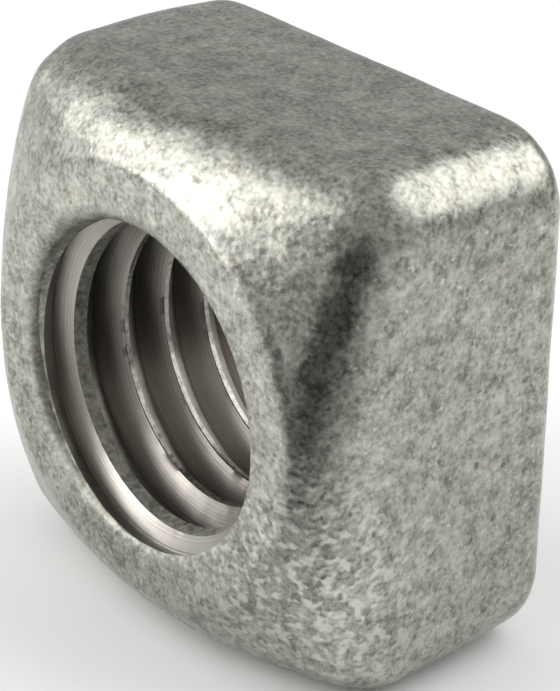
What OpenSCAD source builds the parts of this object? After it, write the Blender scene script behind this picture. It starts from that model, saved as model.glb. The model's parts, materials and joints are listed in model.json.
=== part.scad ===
// Square nut, hot-dip galvanised: a hot-forged block with a chamfered crown, rounded
// edges and a punched hole for the thread, bevelled at both mouths.
// The thread runs along Y. The crown faces -Y, the bearing face +Y, and the nut
// stands on one of its side flats, with the origin in the middle of that flat.

/* [Body] */
// Width across the flats
width_across_flats = 20.6; // [18:0.1:26]
// Thickness from the crown to the bearing face
thickness = 11.7; // [10:0.1:16]
// Radius of the long edges where they end at the bearing face
rear_corner_radius = 3.1; // [2:0.1:4.5]
// Radius of the edge round the bearing face
bearing_edge_radius = 1.2; // [0.5:0.1:1.9]

/* [Crown] */
// Diameter of the flat ring where the chamfer starts
crown_diameter = 16.8; // [15:0.1:18]
// Slope of the chamfer, measured from the flat ring
chamfer_angle = 28; // [15:1:35]
// Radius that rounds the flat ring, the chamfer's rim and the front end of the long edges
crown_edge_radius = 1.8; // [1:0.1:2.5]

/* [Hole] */
// Diameter over the crests of the thread
crest_diameter = 11.1; // [8:0.1:11.4]
// Diameter of each bevelled mouth where it meets its face
mouth_diameter = 13.9; // [12.5:0.1:14.5]
// Slope of the mouths' bevels, measured from the face
mouth_slope = 30; // [20:1:40]
// Diameter where the crown's bevel gives way to the punched lead-in
lead_in_diameter = 12.2; // [11.5:0.1:12.4]
// Depth below the crown at which the lead-in has narrowed to the crests
lead_in_depth = 2.4; // [1.5:0.1:4]

/* [Hidden] */
zinc_grey = "#8b8c8a";
half_width = width_across_flats / 2;
// Balls that follow the chamfer's curved rim along each side, and where their centres end
rim_balls = 11;
rim_reach = half_width - crown_edge_radius;
ball_facets = 32;
ring_facets = 96;
// How far the hole's cut runs past each face
overrun = 1;

// Depth of a mouth's bevel where it has narrowed to a diameter. It is negative outside the face.
function bevel_depth(diameter) = (mouth_diameter - diameter) / 2 * tan(mouth_slope);

// Depth of a rim ball's centre at a distance from the thread's axis: the ball touches the
// chamfer, and is no shallower than the flat ring.
function rim_depth(from_axis) =
    max(crown_edge_radius,
        crown_edge_radius / cos(chamfer_angle)
            + (from_axis - crown_diameter / 2) * tan(chamfer_angle));

// A rounded ring about Z. With no ring radius it is a ball.
module rounded_ring(ring_radius, round_radius, facets)
    rotate_extrude($fn = facets)
        intersection() {
            translate([ring_radius, 0])
                circle(round_radius, $fn = ball_facets);
            translate([0, -round_radius])
                square([ring_radius + round_radius, 2 * round_radius]);
        }

// Edge of the crown's flat ring
module crown_ring()
    translate([0, 0, crown_edge_radius])
        rounded_ring(
            crown_diameter / 2 - crown_edge_radius * tan(chamfer_angle / 2),
            crown_edge_radius,
            ring_facets);

// Rim where the chamfer runs out into one side flat
module chamfer_rim()
    for (ball = [0 : rim_balls - 1]) {
        along = rim_reach * (2 * ball / (rim_balls - 1) - 1);
        translate([along, rim_reach, rim_depth(norm([along, rim_reach]))])
            rounded_ring(0, crown_edge_radius, ball_facets);
    }

// Corner at the bearing face
module bearing_corner()
    translate([
        half_width - rear_corner_radius,
        half_width - rear_corner_radius,
        thickness - bearing_edge_radius
    ])
        rounded_ring(rear_corner_radius - bearing_edge_radius, bearing_edge_radius, ball_facets);

// The forged block, with its crown down at z = 0
module forged_block()
    hull() {
        crown_ring();
        for (quarter = [0 : 3])
            rotate(90 * quarter) {
                chamfer_rim();
                bearing_corner();
            }
    }

// The hole along Z: bevel and lead-in at the crown, straight bore, bevel at the bearing face
module punched_hole() {
    crest_radius = crest_diameter / 2;
    overrun_radius = mouth_diameter / 2 + overrun / tan(mouth_slope);
    rotate_extrude()
        polygon([
            [0, -overrun],
            [overrun_radius, -overrun],
            [lead_in_diameter / 2, bevel_depth(lead_in_diameter)],
            [crest_radius, lead_in_depth],
            [crest_radius, thickness - bevel_depth(crest_diameter)],
            [overrun_radius, thickness + overrun],
            [0, thickness + overrun]
        ]);
}

module nut()
    color(zinc_grey)
        translate([0, -thickness / 2, half_width])
            rotate([-90, 0, 0])
                difference() {
                    forged_block();
                    punched_hole();
                }

nut();
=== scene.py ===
"""The looks of a hot-dip galvanised square nut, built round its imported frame, in metres."""
import json
import math

import bmesh
import bpy
from mathutils import Matrix, Vector, noise


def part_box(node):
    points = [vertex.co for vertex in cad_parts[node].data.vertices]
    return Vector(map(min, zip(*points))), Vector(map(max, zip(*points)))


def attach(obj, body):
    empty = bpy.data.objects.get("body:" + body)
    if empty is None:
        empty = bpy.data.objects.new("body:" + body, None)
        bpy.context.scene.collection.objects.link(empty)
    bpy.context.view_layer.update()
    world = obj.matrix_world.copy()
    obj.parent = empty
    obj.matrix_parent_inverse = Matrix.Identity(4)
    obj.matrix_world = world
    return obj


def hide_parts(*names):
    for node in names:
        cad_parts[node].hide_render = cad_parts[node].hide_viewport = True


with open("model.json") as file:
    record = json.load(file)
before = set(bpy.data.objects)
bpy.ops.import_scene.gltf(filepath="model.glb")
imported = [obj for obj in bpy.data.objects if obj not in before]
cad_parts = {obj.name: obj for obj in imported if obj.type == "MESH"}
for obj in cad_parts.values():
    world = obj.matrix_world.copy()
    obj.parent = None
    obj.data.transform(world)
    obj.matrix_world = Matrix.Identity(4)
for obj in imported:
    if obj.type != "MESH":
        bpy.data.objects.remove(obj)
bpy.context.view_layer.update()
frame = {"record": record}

MM = 0.001
INCH = 25.4 * MM

# Sizes that the frame gives
nut_low, nut_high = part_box("nut")
thread_mount = next(mount for mount in frame["record"]["mounts"] if mount["name"] == "thread")
HALF_WIDTH = (nut_high.x - nut_low.x) / 2
THICKNESS = nut_high.y - nut_low.y
AXIS_HEIGHT = thread_mount["pos_m"][2]
CREST_RADIUS = thread_mount["dims"]["r_mm"] * MM
CENTRE = (nut_low + nut_high) / 2

# The forged block
REAR_CORNER_RADIUS = 3.1 * MM
BEARING_EDGE_RADIUS = 1.2 * MM
CROWN_RADIUS = 8.4 * MM
CHAMFER_ANGLE = math.radians(28)
CROWN_EDGE_RADIUS = 1.8 * MM
# Radius of the bend from the flat ring into the chamfer
RING_BEND_RADIUS = 0.9 * MM
RING_BALLS = 96
RIM_BALLS = 32
CORNER_BALLS = 12
BALL_SEGMENTS = 48
SKIN_GRID = 0.17 * MM
SKIN_SOFTENING = 0.5
SKIN_SOFTENING_PASSES = 4

# The punched hole: at both mouths a rounded lip, and below it a lead-in that narrows to the crests
LEAD_IN_RADIUS = 6.2 * MM
LEAD_IN_DEPTH = 3.4 * MM
REAR_LEAD_IN_DEPTH = 1.4 * MM
LIP_RADIUS = 6.95 * MM
LIP_BEND = 0.1 * MM
LIP_DEPTH = 0.5 * MM
LIP_CLEARANCE = 0.02 * MM
LIP_STEPS = 10
OVERRUN = 1.0 * MM
TURN_STEPS = 192
# Edges shorter than this are slivers that the cuts leave
SLIVER = 0.001 * MM

# The tapped thread: 13 turns to the inch, 60 degree flanks, right-hand
PITCH = INCH / 13
ROOT_RADIUS = 6.7 * MM
ROOT_FLAT = PITCH / 4.5
FLANK_SLOPE = math.tan(math.radians(30))
FLANK_STEPS = 6
# Depth below the crown of the second groove's middle, on the hole's left wall
SECOND_GROOVE = 3.12 * MM
GROOVE_INSET = 0.4 * MM
# Turns that the winding starts before that groove, and turns more than the thickness needs
TURNS_BEFORE = 2
SPARE_TURNS = 3
# How far below the hole's middle the thread was tapped
TAP_DROP = 0.1 * MM

# How uneven the dipped skin and the tapped thread are
SKIN_SWELL = 0.035 * MM
SKIN_SWELL_LENGTH = 2.6 * MM
SKIN_GRAIN = 0.006 * MM
SKIN_GRAIN_LENGTH = 0.5 * MM
THREAD_CHATTER = 0.012 * MM
THREAD_CHATTER_LENGTH = 0.35 * MM
SHARP_ANGLE = math.radians(28)
# Lumps in the zinc, low on the crown's right, in the lathe's frame
LUMPS_MIDDLE = Vector((8.5, 4.8, 0.85)) * MM
LUMPS_REACH = 4.5 * MM
LUMP_HEIGHT = 0.022 * MM
LUMP_LENGTH = 0.42 * MM
# The crease round the crown's flat ring
CREASE_RADIUS = 8.85 * MM
CREASE_WIDTH = 0.2 * MM
CREASE_DEPTH = 0.014 * MM
CREASE_REACH = 2.0 * MM
# How far from the chamfer and from the sides the softened rim between them starts, and the share
# of the overhang that the softening takes off along the skin's normal
RIM_SOFTNESS = 1.84 * MM
RIM_SHARE = 0.82
# Where the rim is more worn, in the lathe's frame: the middle, the reach and the depth of each place
WORN_PLACES = (
    (Vector((-9.9, -0.4, 1.6)) * MM, 4.6 * MM, 0.28 * MM),
    (Vector((-9.4, -10.1, 4.0)) * MM, 2.4 * MM, 0.2 * MM),
    (Vector((-3.6, 9.8, 1.5)) * MM, 4.0 * MM, 0.22 * MM),
)

# The photograph's frame, and the camera that was fitted to it
FRAME_HEIGHT = 691
SENSOR = 36.0
AZIMUTH = math.radians(48.97)
ELEVATION = math.radians(26.51)
ROLL = math.radians(1.37)
DISTANCE = 115.5 * MM
# The nut's height across flats, seen at its middle, in pixels of the frame
PIXELS_PER_WIDTH = 551.9
# Where the nut's middle lies from the middle of the frame, in pixels
NUT_RIGHT = -24.97
NUT_UP = 2.27
# How many times nearer and farther than the nut the camera sees
CLIP_RANGE = 100

# The dark line along the crease, partly a tooling mark and partly painted shade, and how far it wanders
CREASE_WAVE = 0.3 * MM
CREASE_WAVE_LENGTH = 1.5 * MM
CREASE_MARK_AND_SHADE_SHARE = 0.3
CREASE_MARK_AND_SHADE_TONE = "#625f60"
# The grime on the crown's lip, partly painted shade in the mouth
GRIME_AND_SHADE_SHARE = 0.15
GRIME_AND_SHADE_TONE = "#3b382d"
# The painted highlights on the lumps' tops, the distance over which the lumps fade, and what is left of them
# beyond it
LUMP_HIGHLIGHT_START = 0.5
LUMP_HIGHLIGHT_FULL = 0.64
LUMP_HIGHLIGHT_SHARE = 0.9
LUMP_HIGHLIGHT_TONE = "#d8dad2"
LUMP_FADE = 1.5 * LUMPS_REACH
LUMP_ELSEWHERE = 0.1
LUMP_BUMP = 7 * LUMP_HEIGHT

# The zinc's patterns, with the length and the detail of each: grain, patches, clouds, tint, the crease's
# wandering and the lumps
ZINC_PATTERNS = (
    (0.2 * MM, 2.0),
    (0.75 * MM, 2.0),
    (3.0 * MM, 2.0),
    (1.3 * MM, 2.0),
    (CREASE_WAVE_LENGTH, 1.0),
    (LUMP_LENGTH, 1.0),
)
NOISE_ROUGHNESS = 0.6
# How the grain and the clouds are mixed with the patches, where the mixture is darkest and palest, and
# its tones and roughness there
GRAIN_SHARE = 1.3
CLOUD_SHARE = 0.3
MIX_DARKEST = 0.95
MIX_PALEST = 1.71
ZINC_DARK = "#73736b"
ZINC_PALE_COOL = "#b9bfb6"
ZINC_PALE_WARM = "#c4beb1"
ZINC_DARK_ROUGHNESS = 0.24
ZINC_PALE_ROUGHNESS = 0.35
# Pale flecks, brown pits and rusty stains: the length and detail of each, the noise at which it starts
# and is full, its greatest share and its tone
ZINC_SPOTS = (
    (0.28 * MM, 1.0, 0.66, 0.76, 0.5, "#d3d9d0"),
    (0.36 * MM, 0.0, 0.74, 0.84, 0.6, "#57504a"),
    (0.9 * MM, 3.0, 0.7, 0.8, 0.5, "#5d4d35"),
)
GRAIN_BUMP = 0.01 * MM
GRAIN_BUMP_STRENGTH = 0.35
# How much rougher the zinc is inside the crown's lip, and the depths between which that ends
HOLE_DULLNESS = 0.3
HOLE_DULL_DEPTH = 2.4 * MM
HOLE_CLEAN_DEPTH = 3.0 * MM

# The steel's lines along the thread, which wander a little, and its tones
LINE_WIDTH = 0.055 * MM
LINE_DETAIL = 2.0
LINE_ROUGHNESS = 0.7
LINE_WAVE = 0.08 * MM
LINE_WAVE_LENGTH = 2.0 * MM
LINE_WAVE_DETAIL = 1.0
LINE_BUMP = 0.012 * MM
LINE_BUMP_STRENGTH = 0.5
STEEL_DARK = "#6f6b65"
STEEL_PALE = "#cbc6be"
STEEL_ROUGHNESS = 0.32
# The painted shade on the steel: its share low and high in the hole, and the heights of the two
THREAD_SHADE_TONE = "#35322b"
THREAD_SHADE_LOW_SHARE = 0.2
THREAD_SHADE_HIGH_SHARE = 0.55
THREAD_SHADE_LOW_HEIGHT = AXIS_HEIGHT - 3.2 * MM
THREAD_SHADE_HIGH_HEIGHT = AXIS_HEIGHT - 1.0 * MM
# The part of the painted shade that is on the crests, how far from them it is full, and the depths
# between which it starts
THREAD_SHADE_ON_CRESTS = 0.5
THREAD_SHADE_RISE = 0.3 * MM
THREAD_SHADE_START_DEPTH = PITCH
THREAD_SHADE_FULL_DEPTH = 1.5 * PITCH

# The floor, and the shaded cards on the camera's side, which shade between two directions
MATT_ROUGHNESS = 0.9
FLOOR_RADIUS = 150 * MM
FLOOR_SEGMENTS = 96
FLOOR_TONE = "#efefef"
CARD_HEIGHT = 0.05 * MM
CARD_WHITE = "#ffffff"
CARD_DARK = "#303030"
SHADE_AZIMUTHS = (math.radians(74), math.radians(8))
SHADE_START = 3 * MM
SHADE_END = 30 * MM
# Each card's name, direction, start, length, width, shift to the left and rise
CARDS = (
    ("flat_card", math.radians(20), 9.5 * MM, 60 * MM, 110 * MM, 10 * MM, 0),
    ("rising_card", AZIMUTH, 38 * MM, 120 * MM, 60 * MM, 11 * MM, math.radians(32)),
)

# Each soft light's name, direction, size and radiance, and the room round them
LIGHT_DISTANCE = 180 * MM
SOFTBOXES = (
    ("left_softbox", (-0.60, -0.60, 0.53), 165 * MM, 2.45),
    ("rear_right_softbox", (0.40, 0.60, 0.70), 185 * MM, 2.0),
    ("front_left_card", (-0.42, -0.86, 0.27), 90 * MM, 2.3),
    ("side_softbox", (-0.92, -0.25, 0.30), 100 * MM, 0.65),
)
ROOM_TONE = "#c9c9c9"
BACKDROP_TONE = "#ffffff"

# The steel's place in the nut's list of materials, after the zinc
STEEL_SLOT = 1

# From the lathe's frame, where the thread is Z and the crown is at 0, to where the nut stands
STANDING = Matrix.Translation((CENTRE.x, nut_low.y, AXIS_HEIGHT)) @ Matrix.Rotation(-math.pi / 2, 4, "X")


def new_object(name, bm, materials):
    """Makes an object of a bmesh, which is freed."""
    mesh = bpy.data.meshes.new(name)
    bm.to_mesh(mesh)
    bm.free()
    for material in materials:
        mesh.materials.append(material)
    obj = bpy.data.objects.new(name, mesh)
    bpy.context.scene.collection.objects.link(obj)
    return obj


def bake_modifiers(obj):
    """Applies an object's modifiers to its mesh."""
    graph = bpy.context.evaluated_depsgraph_get()
    baked = bpy.data.meshes.new_from_object(obj.evaluated_get(graph), depsgraph=graph)
    obj.modifiers.clear()
    obj.data = baked


def ball_points(radius):
    """The points of a ball about the origin."""
    bm = bmesh.new()
    bmesh.ops.create_uvsphere(bm, u_segments=BALL_SEGMENTS, v_segments=BALL_SEGMENTS // 2, radius=radius)
    points = [vert.co.copy() for vert in bm.verts]
    bm.free()
    return points


def on_ring(radius, depth, start, end, steps):
    """Centres along an arc about Z."""
    angles = [start + (end - start) * step / steps for step in range(steps + 1)]
    return [Vector((radius * math.cos(angle), radius * math.sin(angle), depth)) for angle in angles]


def rim_depth(from_axis):
    """Depth of a rim ball's centre: it touches the chamfer, and is no shallower than the crown."""
    on_chamfer = CROWN_EDGE_RADIUS / math.cos(CHAMFER_ANGLE)
    on_chamfer += (from_axis - CROWN_RADIUS) * math.tan(CHAMFER_ANGLE)
    return max(CROWN_EDGE_RADIUS, on_chamfer)


def forged_block(materials):
    """The solid block: the hull of balls along its rounded edges, as an even skin of small faces."""
    crown_ring = CROWN_RADIUS - RING_BEND_RADIUS * math.tan(CHAMFER_ANGLE / 2)
    crown_balls = on_ring(crown_ring, RING_BEND_RADIUS, 0, 2 * math.pi, RING_BALLS)
    reach = HALF_WIDTH - CROWN_EDGE_RADIUS
    rim = [reach * (2 * ball / RIM_BALLS - 1) for ball in range(RIM_BALLS + 1)]
    rim_balls = [Vector((shift, reach, rim_depth(math.hypot(shift, reach)))) for shift in rim]
    corner = HALF_WIDTH - REAR_CORNER_RADIUS
    rear_arc = on_ring(REAR_CORNER_RADIUS - BEARING_EDGE_RADIUS, THICKNESS - BEARING_EDGE_RADIUS,
                       0, math.pi / 2, CORNER_BALLS)
    rear_balls = [Vector((corner, corner, 0)) + centre for centre in rear_arc]
    for quarter in range(1, 4):
        turn = Matrix.Rotation(quarter * math.pi / 2, 3, "Z")
        rim_balls += [turn @ centre for centre in rim_balls[:RIM_BALLS + 1]]
        rear_balls += [turn @ centre for centre in rear_balls[:CORNER_BALLS + 1]]
    bm = bmesh.new()
    rounded_edges = (
        (crown_balls, RING_BEND_RADIUS),
        (rim_balls, CROWN_EDGE_RADIUS),
        (rear_balls, BEARING_EDGE_RADIUS),
    )
    for centres, radius in rounded_edges:
        points = ball_points(radius)
        for centre in centres:
            for point in points:
                bm.verts.new(centre + point)
    hull = bmesh.ops.convex_hull(bm, input=bm.verts[:], use_existing_faces=False)
    spare = [item for item in hull["geom_interior"] if isinstance(item, bmesh.types.BMVert)]
    bmesh.ops.delete(bm, geom=spare, context="VERTS")
    bmesh.ops.recalc_face_normals(bm, faces=bm.faces[:])
    block = new_object("forged_block", bm, materials)
    skin = block.modifiers.new("even_skin", "REMESH")
    skin.mode = "VOXEL"
    skin.voxel_size = SKIN_GRID
    soften = block.modifiers.new("soften", "SMOOTH")
    soften.factor = SKIN_SOFTENING
    soften.iterations = SKIN_SOFTENING_PASSES
    bake_modifiers(block)
    return block


def rounded_lip():
    """Radius and depth along a mouth's lip, which curves from the face into the lead-in."""
    start = Vector((LIP_RADIUS, 0))
    bend = Vector((LEAD_IN_RADIUS + LIP_BEND, 0))
    end = Vector((LEAD_IN_RADIUS, LIP_DEPTH))
    shares = [step / LIP_STEPS for step in range(LIP_STEPS + 1)]
    return [(1 - share) ** 2 * start + 2 * share * (1 - share) * bend + share ** 2 * end for share in shares]


def punch(materials):
    """The cutter that leaves the plain hole: a profile turned about Z."""
    outside = LIP_RADIUS + OVERRUN
    lip = rounded_lip()
    profile = [(0, -OVERRUN), (outside, -OVERRUN), (outside, -LIP_CLEARANCE)]
    profile += [(radius, depth) for radius, depth in lip]
    profile += [(CREST_RADIUS, LEAD_IN_DEPTH), (CREST_RADIUS, THICKNESS - REAR_LEAD_IN_DEPTH)]
    profile += [(radius, THICKNESS - depth) for radius, depth in reversed(lip)]
    profile += [(outside, THICKNESS + LIP_CLEARANCE), (outside, THICKNESS + OVERRUN)]
    profile += [(0, THICKNESS + OVERRUN)]
    bm = bmesh.new()
    verts = [bm.verts.new((radius, 0, depth)) for radius, depth in profile]
    edges = [bm.edges.new(pair) for pair in zip(verts, verts[1:])]
    bmesh.ops.spin(bm, geom=verts + edges, cent=(0, 0, 0), axis=(0, 0, 1),
                   angle=2 * math.pi, steps=TURN_STEPS, use_merge=True)
    bmesh.ops.remove_doubles(bm, verts=bm.verts[:], dist=SLIVER)
    bmesh.ops.recalc_face_normals(bm, faces=bm.faces[:])
    return new_object("punch", bm, materials)


def tap(materials):
    """The cutter that leaves the thread: a groove's section wound along a helix past both faces."""
    flank_width = (ROOT_RADIUS - CREST_RADIUS) * FLANK_SLOPE
    half_mouth = ROOT_FLAT / 2 + flank_width
    shares = [step / FLANK_STEPS for step in range(FLANK_STEPS + 1)]
    flank = [(CREST_RADIUS + share * (ROOT_RADIUS - CREST_RADIUS), half_mouth - share * flank_width)
             for share in shares]
    section = [(CREST_RADIUS - GROOVE_INSET, half_mouth)] + flank
    section += [(radius, -depth) for radius, depth in reversed(section)]
    turns = math.ceil(THICKNESS / PITCH) + SPARE_TURNS
    # The winding starts on the right wall, half a turn before the left one
    start = SECOND_GROOVE - PITCH / 2 - TURNS_BEFORE * PITCH
    bm = bmesh.new()
    verts = [bm.verts.new((radius, 0, start + depth)) for radius, depth in section]
    for pair in zip(verts, verts[1:] + verts[:1]):
        bm.edges.new(pair)
    cutter = new_object("tap", bm, materials)
    winding = cutter.modifiers.new("winding", "SCREW")
    winding.screw_offset = PITCH
    winding.iterations = turns
    winding.steps = TURN_STEPS
    winding.render_steps = TURN_STEPS
    bake_modifiers(cutter)
    bm = bmesh.new()
    bm.from_mesh(cutter.data)
    bmesh.ops.holes_fill(bm, edges=bm.edges[:])
    bmesh.ops.recalc_face_normals(bm, faces=bm.faces[:])
    bmesh.ops.translate(bm, vec=(0, TAP_DROP, 0), verts=bm.verts[:])
    for face in bm.faces:
        face.material_index = STEEL_SLOT
    bm.to_mesh(cutter.data)
    bm.free()
    return cutter


def cut(obj, cutter):
    """Takes a cutter out of an object, and removes the cutter."""
    boolean = obj.modifiers.new("cut", "BOOLEAN")
    boolean.operation = "DIFFERENCE"
    boolean.solver = "EXACT"
    boolean.object = cutter
    bake_modifiers(obj)
    bpy.data.objects.remove(cutter)


def unevenness(point, length):
    """Smooth noise from about -1 to 1 that changes over a length."""
    return noise.noise(point / length)


def fade(distance, reach):
    """Falls smoothly from 1 to 0 over a reach."""
    return math.exp(-(distance / reach) ** 2)


def depth_in_sides(point):
    """How far a point lies inside the block's side flats and its rounded long edges."""
    rounding = CROWN_EDGE_RADIUS + (REAR_CORNER_RADIUS - CROWN_EDGE_RADIUS) * point.z / THICKNESS
    across = abs(point.x) - HALF_WIDTH + rounding
    upright = abs(point.y) - HALF_WIDTH + rounding
    beyond = math.hypot(max(across, 0), max(upright, 0))
    return rounding - beyond - min(max(across, upright), 0)


def rim_overhang(point):
    """How far a point stands outside the softened rim between the chamfer and the sides."""
    from_axis = math.hypot(point.x, point.y)
    chamfer_depth = (from_axis - CROWN_RADIUS) * math.tan(CHAMFER_ANGLE)
    from_chamfer = (point.z - chamfer_depth) * math.cos(CHAMFER_ANGLE)
    over_side = max(RIM_SOFTNESS - depth_in_sides(point), 0)
    over_chamfer = max(RIM_SOFTNESS - from_chamfer, 0)
    return max(math.hypot(over_side, over_chamfer) - RIM_SOFTNESS, 0)


def skin_move(point):
    """How far the zinc's skin stands out at a point: its swell, grain and lumps, less its crease, its wear
    and the overhang of the rim."""
    move = SKIN_SWELL * unevenness(point, SKIN_SWELL_LENGTH)
    move += SKIN_GRAIN * unevenness(point, SKIN_GRAIN_LENGTH)
    lumpy = fade((point - LUMPS_MIDDLE).length, LUMPS_REACH)
    move += LUMP_HEIGHT * lumpy * unevenness(point, LUMP_LENGTH)
    if point.z < CREASE_REACH:
        move -= CREASE_DEPTH * fade(math.hypot(point.x, point.y) - CREASE_RADIUS, CREASE_WIDTH)
    for middle, reach, depth in WORN_PLACES:
        move -= depth * fade((point - middle).length, reach)
    move -= RIM_SHARE * rim_overhang(point)
    return move


def roughen(mesh):
    """Clears slivers, makes the zinc's skin uneven, and moves the thread by the tap's chatter."""
    bm = bmesh.new()
    bm.from_mesh(mesh)
    bmesh.ops.dissolve_degenerate(bm, edges=bm.edges[:], dist=SLIVER)
    moves = []
    for vert in bm.verts:
        on_thread = any(face.material_index == STEEL_SLOT for face in vert.link_faces)
        if on_thread:
            move = THREAD_CHATTER * unevenness(vert.co, THREAD_CHATTER_LENGTH)
        else:
            move = skin_move(vert.co)
        moves.append(vert.normal * move)
    for vert, move in zip(bm.verts, moves):
        vert.co += move
    bm.to_mesh(mesh)
    bm.free()


def build_nut(materials):
    """The nut: a forged block, punched and then tapped, standing in its place."""
    nut = forged_block(materials)
    cut(nut, punch(materials))
    cut(nut, tap(materials))
    nut.name = "galvanised_nut"
    mesh = nut.data
    roughen(mesh)
    mesh.transform(STANDING)
    mesh.shade_smooth()
    mesh.set_sharp_from_angle(angle=SHARP_ANGLE)
    return nut


def linear(hex_colour):
    """An sRGB hex colour as linear red, green, blue and alpha."""
    channels = [int(hex_colour[start:start + 2], 16) / 255 for start in (1, 3, 5)]
    colour = [
        channel / 12.92 if channel <= 0.04045 else ((channel + 0.055) / 1.055) ** 2.4
        for channel in channels
    ]
    return colour + [1.0]


def add(tree, kind, inputs, **settings):
    """Adds a node with its settings and links, and gives its first output in use. Each input is a value,
    or another node's output to link."""
    node = tree.nodes.new("ShaderNode" + kind)
    for name, value in settings.items():
        setattr(node, name, value)
    for key, value in inputs.items():
        if isinstance(value, bpy.types.NodeSocket):
            tree.links.new(value, node.inputs[key])
        else:
            node.inputs[key].default_value = value
    return next((output for output in node.outputs if output.enabled), None)


def new_material(name):
    """A material with an empty node tree."""
    material = bpy.data.materials.new(name)
    material.use_nodes = True
    material.node_tree.nodes.clear()
    return material, material.node_tree


def place_in_nut(tree):
    """A point's place, its distance from the thread's axis and its depth below the crown."""
    place = add(tree, "TexCoord", {}).node.outputs["Object"]
    mouth = (CENTRE.x, nut_low.y, AXIS_HEIGHT)
    from_mouth = add(tree, "VectorMath", {0: place, 1: mouth}, operation="SUBTRACT")
    across = add(tree, "VectorMath", {0: from_mouth, 1: (1, 0, 1)}, operation="MULTIPLY")
    radius = add(tree, "VectorMath", {0: across}, operation="LENGTH")
    depth = add(tree, "VectorMath", {0: from_mouth, 1: (0, 1, 0)}, operation="DOT_PRODUCT")
    return place, radius, depth


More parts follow.
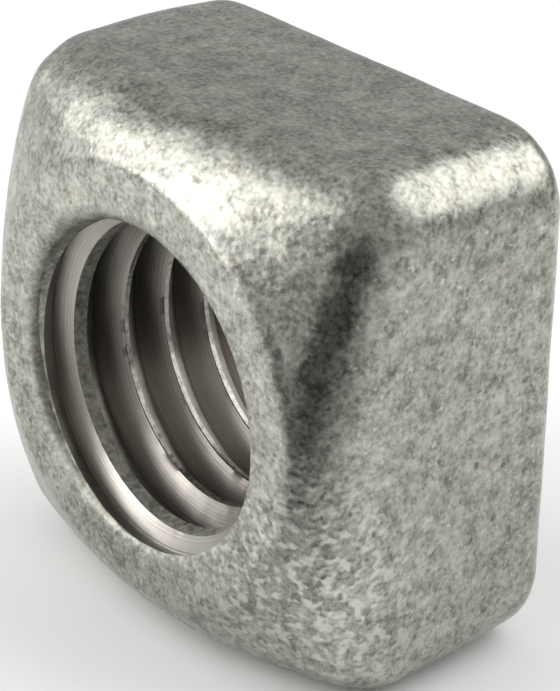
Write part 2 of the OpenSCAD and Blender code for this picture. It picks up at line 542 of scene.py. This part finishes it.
def hot_dip_zinc():
    """Hot-dip zinc, dulled: a metal with a fine grain, pale flecks, brown pits and stains. It has a dark
    line along the crease round the crown, partly a tooling mark and partly painted shade, grime and painted
    shade on the crown's lip, and painted highlights on the tops of its lumps."""
    material, tree = new_material("hot_dip_zinc")
    place, radius, depth = place_in_nut(tree)
    grain, patches, clouds, tint, wave, lump = [
        add(tree, "TexNoise",
            {"Vector": place, "Scale": 1 / length, "Detail": detail, "Roughness": NOISE_ROUGHNESS})
        for length, detail in ZINC_PATTERNS
    ]
    # The mottled metal
    patchy = add(tree, "Math", {0: clouds, 1: CLOUD_SHARE, 2: patches}, operation="MULTIPLY_ADD")
    mixed = add(tree, "Math", {0: grain, 1: GRAIN_SHARE, 2: patchy}, operation="MULTIPLY_ADD")
    paleness = add(tree, "MapRange", {"Value": mixed, "From Min": MIX_DARKEST, "From Max": MIX_PALEST})
    pale = add(tree, "Mix", {"Factor": tint, "A": linear(ZINC_PALE_COOL), "B": linear(ZINC_PALE_WARM)},
               data_type="RGBA")
    colour = add(tree, "Mix", {"Factor": paleness, "A": linear(ZINC_DARK), "B": pale}, data_type="RGBA")
    for length, detail, start, full, share, tone in ZINC_SPOTS:
        speckle = add(tree, "TexNoise",
                      {"Vector": place, "Scale": 1 / length, "Detail": detail, "Roughness": NOISE_ROUGHNESS})
        spots = add(tree, "MapRange",
                    {"Value": speckle, "From Min": start, "From Max": full, "To Max": share})
        colour = add(tree, "Mix", {"Factor": spots, "A": colour, "B": linear(tone)}, data_type="RGBA")
    # The crease's dark line, partly a tooling mark and partly painted shade, which ends below the crown
    wavy = add(tree, "Math", {0: wave, 1: CREASE_WAVE, 2: radius}, operation="MULTIPLY_ADD")
    off_crease = add(tree, "Math", {0: wavy, 1: CREASE_RADIUS + CREASE_WAVE / 2}, operation="SUBTRACT")
    from_crease = add(tree, "Math", {0: off_crease}, operation="ABSOLUTE")
    line = add(tree, "MapRange",
               {"Value": from_crease, "From Max": 2 * CREASE_WIDTH, "To Min": CREASE_MARK_AND_SHADE_SHARE, "To Max": 0.0})
    crease = add(tree, "MapRange", {
        "Value": depth,
        "From Min": CREASE_REACH / 2,
        "From Max": CREASE_REACH,
        "To Min": line,
        "To Max": 0.0,
    })
    # The grime and painted shade on the lip, which end below it
    rim_grime_and_shade = add(tree, "MapRange", {
        "Value": radius,
        "From Min": LEAD_IN_RADIUS,
        "From Max": LIP_RADIUS,
        "To Min": GRIME_AND_SHADE_SHARE,
        "To Max": 0.0,
    })
    grime_and_shade = add(tree, "MapRange", {
        "Value": depth,
        "From Min": LIP_DEPTH,
        "From Max": 2 * LIP_DEPTH,
        "To Min": rim_grime_and_shade,
        "To Max": 0.0,
    })
    # Painted highlights on the lumps' tops, near the lumps' middle
    from_lumps = add(tree, "VectorMath", {0: place, 1: STANDING @ LUMPS_MIDDLE}, operation="DISTANCE")
    lumpy = add(tree, "MapRange",
                {"Value": from_lumps, "From Max": LUMP_FADE, "To Min": 1.0, "To Max": LUMP_ELSEWHERE})
    highlight_peaks = add(tree, "MapRange", {
        "Value": lump,
        "From Min": LUMP_HIGHLIGHT_START,
        "From Max": LUMP_HIGHLIGHT_FULL,
        "To Max": LUMP_HIGHLIGHT_SHARE,
    })
    lump_highlights = add(tree, "Math", {0: highlight_peaks, 1: lumpy}, operation="MULTIPLY")
    # Mixes in the crease's line of mark and painted shade, the grime and painted shade on the lip, and the
    # painted highlights on the lumps
    for share, tone in ((crease, CREASE_MARK_AND_SHADE_TONE), (grime_and_shade, GRIME_AND_SHADE_TONE), (lump_highlights, LUMP_HIGHLIGHT_TONE)):
        colour = add(tree, "Mix", {"Factor": share, "A": colour, "B": linear(tone)}, data_type="RGBA")
    lumps = add(tree, "Bump", {"Height": lump, "Distance": LUMP_BUMP, "Strength": lumpy})
    bump = add(tree, "Bump",
               {"Height": grain, "Distance": GRAIN_BUMP, "Strength": GRAIN_BUMP_STRENGTH, "Normal": lumps})
    # The pale metal is rougher, and so is the hole inside the crown's lip
    dull_lip = add(tree, "MapRange", {
        "Value": radius,
        "From Min": LEAD_IN_RADIUS,
        "From Max": LIP_RADIUS,
        "To Min": HOLE_DULLNESS,
        "To Max": 0.0,
    })
    dull_hole = add(tree, "MapRange", {
        "Value": depth,
        "From Min": HOLE_DULL_DEPTH,
        "From Max": HOLE_CLEAN_DEPTH,
        "To Min": dull_lip,
        "To Max": 0.0,
    })
    metal_roughness = add(tree, "MapRange", {
        "Value": mixed,
        "From Min": MIX_DARKEST,
        "From Max": MIX_PALEST,
        "To Min": ZINC_DARK_ROUGHNESS,
        "To Max": ZINC_PALE_ROUGHNESS,
    })
    roughness = add(tree, "Math", {0: metal_roughness, 1: dull_hole}, operation="ADD")
    shader = add(tree, "BsdfPrincipled",
                 {"Base Color": colour, "Metallic": 1.0, "Roughness": roughness, "Normal": bump})
    add(tree, "OutputMaterial", {"Surface": shader})
    return material


def tapped_steel():
    """Bare steel, fresh from the tap: a warm grey metal with fine lines along the thread. Past the first
    turn it is darkened by painted shade, less so low in the hole and on the crests."""
    material, tree = new_material("tapped_steel")
    place, radius, depth = place_in_nut(tree)
    wave = add(tree, "TexNoise", {
        "Vector": place,
        "Scale": 1 / LINE_WAVE_LENGTH,
        "Detail": LINE_WAVE_DETAIL,
        "Roughness": NOISE_ROUGHNESS,
    })
    wavy = add(tree, "Math", {0: wave, 1: LINE_WAVE, 2: radius}, operation="MULTIPLY_ADD")
    lines = add(tree, "TexNoise",
                {"W": wavy, "Scale": 1 / LINE_WIDTH, "Detail": LINE_DETAIL, "Roughness": LINE_ROUGHNESS},
                noise_dimensions="1D")
    metal = add(tree, "Mix", {"Factor": lines, "A": linear(STEEL_DARK), "B": linear(STEEL_PALE)},
                data_type="RGBA")
    # Painted shade in the thread's grooves, more of it higher in the hole and less on the crests
    height = add(tree, "VectorMath", {0: place, 1: (0, 0, 1)}, operation="DOT_PRODUCT")
    shade_by_height = add(tree, "MapRange", {
        "Value": height,
        "From Min": THREAD_SHADE_LOW_HEIGHT,
        "From Max": THREAD_SHADE_HIGH_HEIGHT,
        "To Min": THREAD_SHADE_LOW_SHARE,
        "To Max": THREAD_SHADE_HIGH_SHARE,
    })
    off_crests = add(tree, "MapRange", {
        "Value": radius,
        "From Min": CREST_RADIUS,
        "From Max": CREST_RADIUS + THREAD_SHADE_RISE,
        "To Min": THREAD_SHADE_ON_CRESTS,
    })
    shade_in_grooves = add(tree, "Math", {0: shade_by_height, 1: off_crests}, operation="MULTIPLY")
    thread_shade = add(tree, "MapRange", {
        "Value": depth,
        "From Min": THREAD_SHADE_START_DEPTH,
        "From Max": THREAD_SHADE_FULL_DEPTH,
        "To Max": shade_in_grooves,
    })
    colour = add(tree, "Mix", {"Factor": thread_shade, "A": metal, "B": linear(THREAD_SHADE_TONE)}, data_type="RGBA")
    bump = add(tree, "Bump", {"Height": lines, "Distance": LINE_BUMP, "Strength": LINE_BUMP_STRENGTH})
    shader = add(tree, "BsdfPrincipled",
                 {"Base Color": colour, "Metallic": 1.0, "Roughness": STEEL_ROUGHNESS, "Normal": bump})
    add(tree, "OutputMaterial", {"Surface": shader})
    return material


def white_board():
    """Matt white board."""
    material, tree = new_material("white_board")
    shader = add(tree, "BsdfPrincipled", {"Base Color": linear(FLOOR_TONE), "Roughness": MATT_ROUGHNESS})
    add(tree, "OutputMaterial", {"Surface": shader})
    return material


def shaded_card():
    """Matt card that shades from white to dark between two directions."""
    material, tree = new_material("shaded_card")
    place = add(tree, "TexCoord", {}).node.outputs["Object"]
    spans = [
        add(tree, "VectorMath", {0: place, 1: (math.sin(azimuth), -math.cos(azimuth), 0)},
            operation="DOT_PRODUCT")
        for azimuth in SHADE_AZIMUTHS
    ]
    between = add(tree, "Math", dict(enumerate(spans)), operation="MINIMUM")
    share = add(tree, "MapRange", {"Value": between, "From Min": SHADE_START, "From Max": SHADE_END})
    colour = add(tree, "Mix", {"Factor": share, "A": linear(CARD_WHITE), "B": linear(CARD_DARK)},
                 data_type="RGBA")
    shader = add(tree, "BsdfPrincipled", {"Base Color": colour, "Roughness": MATT_ROUGHNESS})
    add(tree, "OutputMaterial", {"Surface": shader})
    return material


def build_floor():
    """A pale floor under the nut."""
    bm = bmesh.new()
    bmesh.ops.create_circle(bm, cap_ends=True, radius=FLOOR_RADIUS, segments=FLOOR_SEGMENTS)
    floor = new_object("floor", bm, [white_board()])


def build_card(name, azimuth, start, length, width, left, rise):
    """A shaded card on the camera's side, which darkens the edges that face the camera."""
    bm = bmesh.new()
    half_side = 0.5
    bmesh.ops.create_grid(bm, x_segments=1, y_segments=1, size=half_side)
    size = Matrix.Diagonal((width, length, 1, 1))
    hinge = Matrix.Translation((0, -length / 2, 0))
    tilt = Matrix.Rotation(-rise, 4, "X")
    lay = Matrix.Translation((-left, -start, CARD_HEIGHT))
    turn = Matrix.Rotation(azimuth, 4, "Z")
    bmesh.ops.transform(bm, matrix=turn @ lay @ tilt @ hinge @ size, verts=bm.verts[:])
    card = new_object(name, bm, [shaded_card()])
    card.visible_camera = False
    card.visible_diffuse = False
    card.visible_shadow = False


def add_softbox(name, towards, size, radiance):
    """A soft square light that faces the nut from a direction."""
    light = bpy.data.lights.new(name, "AREA")
    light.shape = "SQUARE"
    light.size = size
    light.energy = radiance * math.pi * size ** 2
    lamp = bpy.data.objects.new(name, light)
    direction = Vector(towards).normalized()
    lamp.location = CENTRE + direction * LIGHT_DISTANCE
    lamp.rotation_euler = direction.to_track_quat("Z", "Y").to_euler()
    lamp.visible_camera = False
    bpy.context.scene.collection.objects.link(lamp)


def light_studio():
    """Large soft lights to the left and behind on the right, smaller ones beside them, and a dim room."""
    for softbox in SOFTBOXES:
        add_softbox(*softbox)
    world = bpy.data.worlds.new("studio")
    world.use_nodes = True
    tree = world.node_tree
    is_camera_ray = add(tree, "LightPath", {}).node.outputs["Is Camera Ray"]
    seen = add(tree, "Mix", {"Factor": is_camera_ray, "A": linear(ROOM_TONE), "B": linear(BACKDROP_TONE)},
               data_type="RGBA")
    tree.links.new(seen, tree.nodes["Background"].inputs["Color"])
    bpy.context.scene.world = world


def place_camera():
    """The camera at the photograph's viewing angle."""
    back = Vector((math.sin(AZIMUTH) * math.cos(ELEVATION),
                   -math.cos(AZIMUTH) * math.cos(ELEVATION),
                   math.sin(ELEVATION)))
    level = Vector((math.cos(AZIMUTH), math.sin(AZIMUTH), 0))
    upright = back.cross(level)
    right = math.cos(ROLL) * level + math.sin(ROLL) * upright
    up = back.cross(right)
    per_pixel = 2 * HALF_WIDTH / PIXELS_PER_WIDTH
    camera = bpy.data.cameras.new("camera")
    camera.sensor_width = SENSOR
    camera.lens = SENSOR / FRAME_HEIGHT * DISTANCE / per_pixel
    camera.clip_start = DISTANCE / CLIP_RANGE
    camera.clip_end = DISTANCE * CLIP_RANGE
    obj = bpy.data.objects.new("camera", camera)
    place = CENTRE + back * DISTANCE - right * NUT_RIGHT * per_pixel - up * NUT_UP * per_pixel
    turn = Matrix((right, up, back)).transposed().to_4x4()
    obj.matrix_world = Matrix.Translation(place) @ turn
    bpy.context.scene.collection.objects.link(obj)
    bpy.context.scene.camera = obj


nut = build_nut([hot_dip_zinc(), tapped_steel()])
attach(nut, "root")
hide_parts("nut")
build_floor()
for card in CARDS:
    build_card(*card)
light_studio()
place_camera()
bpy.context.scene.view_settings.view_transform = "Standard"
